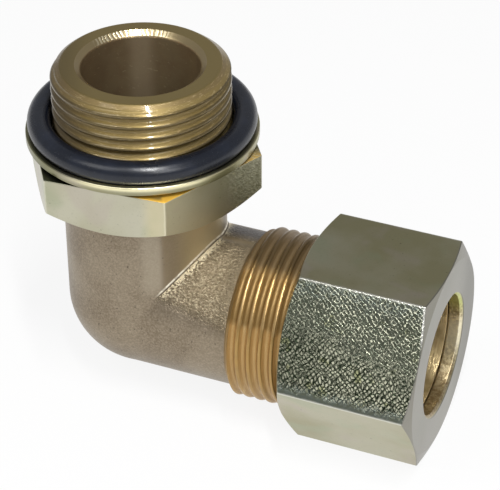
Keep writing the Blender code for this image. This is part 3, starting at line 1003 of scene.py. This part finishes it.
def bored_brass(context):
    """Drilled brass, browner than the outside, with a painted reflection band, painted shade to one
    side and chatter marks round part of the stud's mouth, painted bright as a highlight.
    """
    sizes = context.scene.fitting_sizes
    shades = context.scene.fitting_colours
    brass = Finish("bored_brass")
    x, y, z = brass.axes()
    turn = brass.maths("ARCTAN2", y, x)
    stains = brass.noise(0.3, 4.0, 0.6)
    rings = brass.noise(1.0, 3.0, 0.6, brass.vector(x * 0.3, y * 0.3, z * 7.0))
    drags = brass.vector(x * 0.9 + y * 0.4, y * 0.9, z * 3.0 + x * 0.8)
    scratches = brass.noise(1.0, 3.0, 0.7, drags)
    mouth = (sizes.stud_reach - sizes.stud_mouth_depth) / MM
    slope = z.ease(mouth - 0.03, mouth + 0.10)
    # Chatter marks on one side of the mouth, painted bright as a highlight.
    chatter_and_glint = brass.maths("SINE", turn * 92.0 + brass.noise(0.6, 2.0) * 9.0).ease(-0.3, 0.5)
    chatter_and_glint = slope * chatter_and_glint * abs(turn - 2.16).ease(0.72, 0.5)
    base = brass.layers(
        brass.blend(stains.ease(0.35, 0.7), shades.bore, (0.27, 0.19, 0.105)),
        (scratches.ease(0.63, 0.69) * 0.5, (0.62, 0.50, 0.30)),
        # A painted reflection band down the bore, then painted shade towards one side.
        (abs(turn - 2.0).ease(0.32, 0.06) * 0.4, (0.62, 0.50, 0.33)),
        ((x * 0.9 + y * 0.43).ease(-1.0, -8.0) * 0.5, (0.13, 0.085, 0.045)),
        (slope, (0.42, 0.33, 0.18)),
        (chatter_and_glint * 0.85, (0.95, 0.85, 0.58)),
    )
    return brass.surface(
        Base_Color=base,
        Metallic=0.62 + 0.33 * slope,
        Roughness=0.24 + stains * 0.14,
        Normal=brass.bump(rings + chatter_and_glint * 0.8, 0.3, 0.06 * MM),
    )


def ring_brass(context):
    """Turned brass of the ring, with tool lines."""
    brass = Finish("ring_brass")
    x, y, z = brass.axes()
    lines = brass.noise(1.0, 3.0, 0.6, brass.vector(x * 8.0, y * 0.2, z * 0.2))
    stains = brass.noise(0.5, 3.0)
    clean = context.scene.fitting_colours.ring
    return brass.surface(
        Base_Color=brass.blend(stains.ease(0.4, 0.7) * 0.6, clean, (0.30, 0.21, 0.09)),
        Metallic=0.7,
        Roughness=0.26 + stains * 0.12,
        Normal=brass.bump(lines, 0.8, 0.08 * MM),
    )


def rubber(context):
    """Black moulded rubber with a faint bloom and specks."""
    black = Finish("black_rubber")
    bloom = black.noise(0.25, 3.0)
    base = black.layers(
        context.scene.fitting_colours.rubber,
        (bloom.ease(0.4, 0.7) * 0.6, (0.010, 0.014, 0.026)),
        (black.noise(4.0, 2.0).ease(0.68, 0.74) * 0.35, (0.10, 0.10, 0.11)),
    )
    return black.surface(
        Base_Color=base,
        Metallic=0.0,
        Roughness=0.22 + bloom * 0.12,
        Normal=black.bump(black.noise(2.2, 3.0), 0.25, 0.05 * MM),
    )


def plating(context, name, grime, yellow):
    """What the plated pieces share: the finish, its base colour, its film and its grain."""
    shades = context.scene.fitting_colours
    plate = Finish(name)
    film = plate.noise(0.09, 3.0, 0.5)
    fine = plate.noise(2.6, 3.0, 0.6)
    tint = plate.noise(0.13, 2.0, 0.5, None, 0.4)
    base = plate.layers(
        plate.blend(film.ease(0.3, 0.75) * 0.6 + (yellow - 0.3), shades.pale, shades.olive),
        (tint.ease(0.52, 0.70) * 0.35, (0.36, 0.42, 0.27)),
        (tint.ease(0.46, 0.32) * 0.35, (0.50, 0.43, 0.38)),
        (fine.ease(0.55, 0.8) * grime, shades.dull),
        (plate.noise(1.9, 2.0).ease(0.72, 0.76) * 0.5, (0.08, 0.08, 0.05)),
    )
    return plate, base, film, fine


def worn_edges(plate, a, b, nut):
    """Where the corners of a nut are worn bright. A and b are the places across its hexagon."""
    reaches = []
    for k in range(3):
        facing = nut.turn + math.radians(30.0 + 60.0 * k)
        reaches.append(abs(a * math.cos(facing) + b * math.sin(facing)))
    most = plate.most(plate.most(reaches[0], reaches[1]), reaches[2])
    least = plate.least(plate.least(reaches[0], reaches[1]), reaches[2])
    second = reaches[0] + reaches[1] + reaches[2] - most - least
    half = nut.flats / 2.0 / MM
    return (second + plate.noise(0.8, 3.0) * 0.3).ease(half - 0.12, half + 0.06)


def washer_plating(context):
    """Yellowed plating of the pressed washer, with tool lines round it, painted shade low on its rim
    and to the left, and a painted highlight on the front of the rim.
    """
    plate, base, film, fine = plating(context, "washer_plating", 0.35, 0.9)
    x, y, z = plate.axes()
    radius = (x * x + y * y) ** 0.5
    lines = plate.noise(1.0, 3.0, 0.6, plate.vector(radius * 8.0, z * 8.0, 0.0))
    front = abs(plate.maths("ARCTAN2", y, x) + 1.12).ease(0.8, 0.35)
    base = plate.layers(
        base,
        # Painted shade low on the rim and to the left, and a painted highlight on the front of the
        # rim.
        (z.ease(-0.7, -0.95) * 0.4, (0.20, 0.19, 0.10)),
        ((x + film * 3.0).ease(-1.0, -8.0) * 0.75, (0.17, 0.17, 0.09)),
        (z.ease(-0.75, -0.3) * front * 0.95, (1.0, 0.93, 0.60)),
    )
    return plate.surface(
        Base_Color=base,
        Metallic=1.0,
        Roughness=0.24 + film * 0.12,
        Normal=plate.bump(lines * 0.6 + fine * 0.4, 0.3, 0.06 * MM),
    )


def lock_nut_plating(context):
    """Satin plating of the lock nut, scuffed on the flat beside the arm and amber on top, with a
    painted dark reflection on that flat and painted light on the face next to it.
    """
    shades = context.scene.fitting_colours
    nut = context.scene.lock_nut_sizes
    plate, base, film, fine = plating(context, "lock_nut_plating", 0.2, 0.3)
    x, y, z = plate.axes()
    top_at = nut.top / MM
    top = z.ease(top_at - 0.07, top_at - 0.03)
    bloom = top * x.ease(3.5, 7.0) * y.ease(4.0, 0.0) * plate.noise(0.25, 2.0).ease(0.30, 0.45)
    # Painted dark reflection on the flat beside the arm, under its real scuffs.
    side = x.ease(14.4, 16.6) * y.ease(8.5, 6.0)
    scuffs = plate.noise(1.0, 4.0, 0.7, plate.vector(x * 2.4 + y, y * 0.9, z * 7.0 + y * 3.0))
    scuffs = scuffs.ease(0.48, 0.62) * side
    # Painted light on the face next to that flat.
    right = x.ease(6.2, 8.5) * x.ease(17.0, 9.0) * y.ease(8.5, 6.0) * (1.0 - top)
    base = plate.layers(
        base,
        (top, shades.dull),
        (bloom, shades.amber),
        (side * 0.45, shades.dull),
        (scuffs * 0.55, (0.62, 0.60, 0.42)),
        (worn_edges(plate, x, y, nut) * (1.0 - top) * 0.5, (0.80, 0.78, 0.66)),
        (right * 0.42, (0.68, 0.58, 0.31)),
    )
    return plate.surface(
        Base_Color=base,
        Metallic=1.0 - right * 0.25 - bloom * 0.75,
        Roughness=0.28 + film * 0.08 + right * 0.08,
        Normal=plate.bump(fine * 0.4 + scuffs, 0.25, 0.08 * MM),
    )


def compression_nut_plating(context):
    """Satin plating, with a worn crosshatch on the front flat and bare metal in the mouth, painted
    shade on the outer end, a painted highlight on its border and a painted glint in the mouth.
    """
    nut = context.scene.compression_end_sizes
    plate, base, film, fine = plating(context, "compression_nut_plating", 0.25, 0.8)
    x, y, z = plate.axes()
    up = above_arm(context, z)
    radius = (y * y + up * up) ** 0.5
    half = nut.flats / 2.0 / MM
    end_at = nut.end / MM
    facing = nut.turn + math.radians(210.0)
    across = y * math.cos(facing) + up * math.sin(facing)
    flat = (y * math.sin(facing) - up * math.cos(facing)).ease(half - 0.10, half - 0.01)
    patches = plate.noise(0.30, 3.0, 0.6)
    shift = plate.noise(1.7, 3.0, 0.6)
    rim = plate.noise(0.9, 3.0, 0.7) * 1.4

    # Two wandering sets of dark lines cross, and pale marks lie between them.
    bend = plate.noise(0.30, 2.0) * 2.6
    jitter = plate.noise(1.0, 3.0, 0.6) * 1.9
    sway = plate.noise(0.8, 2.0, 0.6, plate.vector(y + 40.0, x, z)) * 1.6
    first = (x * 0.78 + across * 0.62) * 1.75 + bend + jitter
    second = (across * 0.74 - x * 0.66) * 1.95 + bend + sway
    edge = plate.least(plate.maths("PINGPONG", first, 0.5), plate.maths("PINGPONG", second, 0.5))
    low = (across - (x - 37.0) * 0.2 + patches * 8.0 - 4.0).ease(-4.5, 3.0)
    marks = edge.ease(0.15, 0.26) * (0.2 + 0.8 * (shift + low * 0.08).ease(0.42, 0.62))
    broken = plate.vector(x * 2.3 + across * 1.1, across * 2.3 - x * 1.1, 0.0)
    broken = (plate.noise(1.0, 2.0, 0.6, broken) + patches * 0.2).ease(0.58, 0.66)
    scribbles = edge.ease(0.14, 0.05) * broken * (1.0 - low * 0.75)
    pale = plate.most(marks * (0.13 + 0.65 * low), scribbles * 0.95)
    pale = pale * (1.0 - 0.3 * x.ease(36.0, 30.0))
    mossy = plate.noise(0.45, 3.0).ease(0.60, 0.68) * 0.6
    mark_shade = plate.blend(mossy, (0.78, 0.78, 0.58), (0.44, 0.46, 0.15))
    middle = flat * (across + rim * 1.5).ease(9.4, 8.0) * (patches + rim - across).ease(10.4, 9.0)
    middle = middle * (x + rim * 0.5).ease(end_at + 0.4, end_at - 0.1)
    haze = plate.most((across + rim).ease(-4.0, -7.5), (across + rim).ease(7.0, 8.6))
    haze = flat * haze * shift.ease(0.38, 0.56)

    # The outer end and the slope round it, painted in shade, and a painted highlight on the border
    # between the slope and the marked flat.
    slanted = x + (radius - half + 0.1) * math.tan(nut.outer_chamfer)
    slope = slanted.ease(end_at - 0.20, end_at - 0.05) * radius.ease(half - 0.3, half)
    end = plate.most(x.ease(end_at - 0.15, end_at - 0.05), slope)
    border_highlight = abs(slanted - (end_at - 0.2)).ease(0.2, 0.08) * flat * (across + rim).ease(-1.5, -3.5)

    # The metal of the mouth, with a painted glint across its middle and darker brown towards the
    # bottom.
    mouth = (nut.lip_radius + nut.mouth) / MM
    inner = radius.ease(mouth - 0.05, mouth - 0.25)
    mottle = plate.noise(1.6, 4.0, 0.7)
    bare = plate.layers(
        plate.blend(mottle.ease(0.38, 0.62), (0.34, 0.27, 0.15), (0.82, 0.71, 0.45)),
        (abs(up + 2.5).ease(4.0, 1.0) * 0.75, (1.0, 0.92, 0.68)),
        ((up + mottle * 3.0).ease(2.0, 6.0) * 0.85, (0.58, 0.62, 0.20)),
        (up.ease(-4.0, -9.0) * 0.6, (0.26, 0.18, 0.09)),
    )
    base = plate.layers(
        base,
        (flat * 0.8, (0.17, 0.20, 0.155)),
        (middle * (0.5 + 0.48 * low), (0.016, 0.024, 0.013)),
        (middle * pale, mark_shade),
        (haze * 0.35, (0.22, 0.26, 0.25)),
        (worn_edges(plate, -up, y, nut) * 0.6, (0.86, 0.85, 0.76)),
        (end * 0.85, (0.26, 0.25, 0.225)),
        (end * y.ease(4.0, 12.0) * 0.6, (0.16, 0.152, 0.128)),
        (border_highlight * 0.8, (0.92, 0.91, 0.84)),
        (inner, bare),
    )
    height = fine * 0.3 + middle * edge.ease(0.03, 0.16) * 1.1 + inner * mottle * 0.9
    return plate.surface(
        Base_Color=base,
        Metallic=1.0 - middle * pale * 0.75 - inner * 0.15,
        Roughness=0.28 + film * 0.08,
        Normal=plate.bump(height, 0.5, 0.10 * MM),
    )


# Stage

FLOOR_REACH = 3.0
FLOOR_WHITE = 0.88
SKY_GREYS = (
    (0.0, (0.45, 0.45, 0.46)),
    (0.12, (0.34, 0.34, 0.345)),
    (0.62, (0.35, 0.35, 0.355)),
    (1.0, (0.18, 0.18, 0.19)),
)
# Name, place, width, height and watts of each lamp
LAMPS = (
    ("strip", (0.117, -0.167, 0.400), 0.018, 0.20, 1.5),
    ("front", (-0.155, -0.275, 0.40), 0.25, 0.25, 0.50),
    ("side", (0.27, -0.26, 0.26), 0.16, 0.16, 0.48),
)
LAMP_AIM = Vector((0.015, 0.0, -0.02))
CAMERA_PLACE = (0.111477, -0.231680, 0.161137)
CAMERA_AZIMUTH = math.radians(22.18)
CAMERA_ELEVATION = math.radians(35.521)
CAMERA_ROLL = math.radians(-0.101)
CAMERA_LENS = 147.80


def add_floor(scene):
    """Pale floor that shows white to the camera and in gloss, and still keeps a shadow."""
    corners = [(-1.0, -1.0), (1.0, -1.0), (1.0, 1.0), (-1.0, 1.0)]
    points = [(x * FLOOR_REACH, y * FLOOR_REACH, CAD_BOX[0].z) for x, y in corners]
    mesh = bpy.data.meshes.new("floor")
    mesh.from_pydata(points, [], [(0, 1, 2, 3)])
    paint = Finish("floor_paint")
    paint.surface(Base_Color=scene.fitting_colours.floor, Roughness=0.8)
    seen = paint.node("ShaderNodeLightPath").outputs
    rays = paint.most(seen["Is Camera Ray"], seen["Is Glossy Ray"])
    rays = paint.most(rays, seen["Is Transmission Ray"])
    white = paint.node("ShaderNodeEmission", None, {"Color": (1.0, 1.0, 1.0), "Strength": 1.0})
    shaders = {0: rays * FLOOR_WHITE, 1: paint.shader.outputs[0], 2: white.outputs[0]}
    mixed = paint.node("ShaderNodeMixShader", None, shaders)
    output = next(node for node in paint.tree.nodes if node.type == "OUTPUT_MATERIAL")
    paint.feed(output.inputs[0], mixed.outputs[0])
    floor = scene_object("floor", painted(mesh, paint.material))


def add_sky(scene):
    """Soft grey studio round the part, darker overhead."""
    world = bpy.data.worlds.new("studio")
    world.use_nodes = True
    scene.world = world
    sky = Finish("studio", world.node_tree)
    up = sky.axes(sky.node("ShaderNodeTexCoord").outputs["Generated"])[2]
    grey = sky.node("ShaderNodeValToRGB", {"stops": SKY_GREYS}, {0: up})
    back = next(node for node in sky.tree.nodes if node.type == "BACKGROUND")
    sky.feed(back.inputs[0], grey.outputs[0])


def add_lamp(name, place, width, height, watts):
    light = bpy.data.lights.new(name, "AREA")
    light.shape = "RECTANGLE"
    light.size = width
    light.size_y = height
    light.energy = watts
    lamp = scene_object(name, light)
    lamp.location = place
    lamp.rotation_euler = (LAMP_AIM - lamp.location).to_track_quat("-Z", "Y").to_euler()


def add_camera(scene):
    """Camera at the photograph's angle, its whole frame on the part."""
    camera = bpy.data.cameras.new("camera")
    camera.sensor_width = 36.0
    camera.lens = CAMERA_LENS
    camera.clip_start = 0.01
    camera.clip_end = 10.0
    item = scene_object("camera", camera)
    item.location = CAMERA_PLACE
    aim = Matrix.Rotation(CAMERA_AZIMUTH, 4, "Z")
    aim = aim @ Matrix.Rotation(math.pi / 2.0 - CAMERA_ELEVATION, 4, "X")
    item.rotation_euler = (aim @ Matrix.Rotation(CAMERA_ROLL, 4, "Z")).to_euler()
    scene.camera = item


class ELBOW_OT_stage(bpy.types.Operator):
    """Set the pale floor, the soft studio light and the camera"""

    bl_idname = "elbow_fitting.stage"
    bl_label = "Stage"

    def execute(self, context):
        scene = context.scene
        add_floor(scene)
        add_sky(scene)
        for lamp in LAMPS:
            add_lamp(*lamp)
        add_camera(scene)
        scene.view_settings.view_transform = "Standard"
        return {"FINISHED"}


class ELBOW_PT_panel(bpy.types.Panel):
    """Buttons for each piece and for the stage"""

    bl_idname = "ELBOW_PT_panel"
    bl_label = "Elbow Fitting"
    bl_space_type = "VIEW_3D"
    bl_region_type = "UI"
    bl_category = "Elbow Fitting"

    def draw(self, context):
        for operator in OPERATORS:
            self.layout.operator(operator.bl_idname)
        for name in GROUPS:
            group = getattr(context.scene, name)
            box = self.layout.box()
            for key in group.bl_rna.properties.keys():
                if key not in ("name", "rna_type"):
                    box.prop(group, key)


OPERATORS = (
    ELBOW_OT_body,
    ELBOW_OT_seal,
    ELBOW_OT_lock_nut,
    ELBOW_OT_compression_end,
    ELBOW_OT_stage,
)
GROUPS = {
    "fitting_sizes": FittingSizes,
    "seal_sizes": SealSizes,
    "lock_nut_sizes": LockNutSizes,
    "compression_end_sizes": CompressionEndSizes,
    "fitting_colours": FittingColours,
}


def register():
    for name, group in GROUPS.items():
        bpy.utils.register_class(group)
        setattr(bpy.types.Scene, name, bpy.props.PointerProperty(type=group))
    for item in (*OPERATORS, ELBOW_PT_panel):
        bpy.utils.register_class(item)


def unregister():
    for item in reversed((*OPERATORS, ELBOW_PT_panel)):
        bpy.utils.unregister_class(item)
    for name, group in reversed(GROUPS.items()):
        delattr(bpy.types.Scene, name)
        bpy.utils.unregister_class(group)


def main():
    register()
    for operator in OPERATORS:
        category, name = operator.bl_idname.split(".")
        getattr(getattr(bpy.ops, category), name)()


if __name__ == "__main__":
    main()
